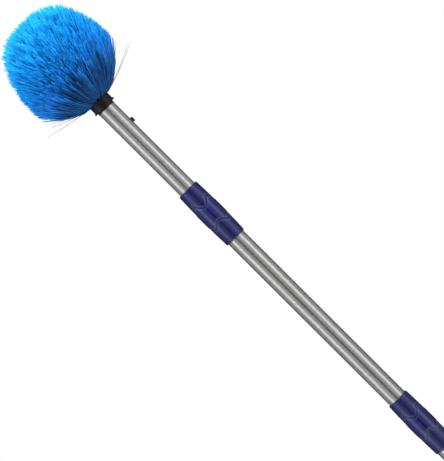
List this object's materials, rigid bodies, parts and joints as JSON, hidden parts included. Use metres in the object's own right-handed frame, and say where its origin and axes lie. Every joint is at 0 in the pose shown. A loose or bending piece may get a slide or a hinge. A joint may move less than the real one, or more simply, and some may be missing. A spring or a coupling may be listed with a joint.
{
  "type": "cobweb brush",
  "caption": "Round cobweb brush with splayed blue bristles on a telescopic steel pole with twist-lock sleeves, for sweeping ceilings and corners.",
  "frame": {"origin": "lowest point of the butt end, on the pole's axis", "axes": "+Z along the pole towards the brush head, +X towards the snap button, +Y completes the frame"},
  "size_m": [0.156, 0.156, 1.1553],
  "materials": {
    "tube_steel": "polished steel tube with a soft sheen",
    "navy_plastic": "navy moulded plastic, semi-gloss",
    "black_plastic": "black moulded plastic, matte",
    "pale_nylon": "natural nylon",
    "bristle_blue": "blue plastic filament, lighter towards the tips",
    "clear_filament": "clear plastic filament",
    "spring_steel": "bare spring steel",
    "plated_steel": "zinc-plated steel"
  },
  "bodies": {
    "handle": {"handle_tube": "tube_steel", "end_cap": "navy_plastic"},
    "lower_sleeve": {"lower_twist_sleeve": "navy_plastic"},
    "lower_shoe": {"lower_lock_shoe": "pale_nylon"},
    "middle_pole": {"middle_tube": "tube_steel", "middle_guide_foot": "pale_nylon"},
    "upper_sleeve": {"upper_twist_sleeve": "navy_plastic"},
    "upper_shoe": {"upper_lock_shoe": "pale_nylon"},
    "upper_pole": {"upper_tube": "tube_steel", "upper_guide_foot": "pale_nylon", "head_socket": "black_plastic", "block_screw": "plated_steel", "button_spring": "spring_steel", "tuft_block": "black_plastic", "tuft_anchors": "plated_steel", "long_filaments": "clear_filament", "tuft_crown": "bristle_blue", "tuft_ring_first": "bristle_blue", "tuft_ring_second": "bristle_blue", "tuft_ring_third": "bristle_blue", "tuft_ring_outer": "bristle_blue"},
    "button": {"snap_button": "black_plastic"}
  },
  "joints": [
    {"name": "middle_slide", "type": "slide", "parent": "handle", "child": "middle_pole", "axis": [0, 0, 1], "range_m": [-0.2694, 0.0462]},
    {"name": "upper_slide", "type": "slide", "parent": "middle_pole", "child": "upper_pole", "axis": [0, 0, 1], "range_m": [-0.0994, 0.2305]},
    {"name": "lower_sleeve_turn", "type": "hinge", "parent": "handle", "child": "lower_sleeve", "pos_m": [0, 0, 0.476], "axis": [0, 0, 1], "range_deg": [0, 80]},
    {"name": "upper_sleeve_turn", "type": "hinge", "parent": "middle_pole", "child": "upper_sleeve", "pos_m": [0, 0, 0.831], "axis": [0, 0, 1], "range_deg": [0, 80]},
    {"name": "lower_shoe_press", "type": "slide", "parent": "handle", "child": "lower_shoe", "axis": [1, 0, 0], "range_m": [0, 0.0003214]},
    {"name": "upper_shoe_press", "type": "slide", "parent": "middle_pole", "child": "upper_shoe", "axis": [1, 0, 0], "range_m": [0, 0.0003214]},
    {"name": "button_press", "type": "slide", "parent": "upper_pole", "child": "button", "axis": [-1, 0, 0], "range_m": [0, 0.0032], "stiffness_N_per_m": 900, "springref_m": -0.001, "deforming": ["button_spring"]}
  ],
  "couplings": [
    {"joint": "lower_shoe_press", "follows": "lower_sleeve_turn", "m_per_rad": 0.00023016},
    {"joint": "upper_shoe_press", "follows": "upper_sleeve_turn", "m_per_rad": 0.00023016}
  ]
}
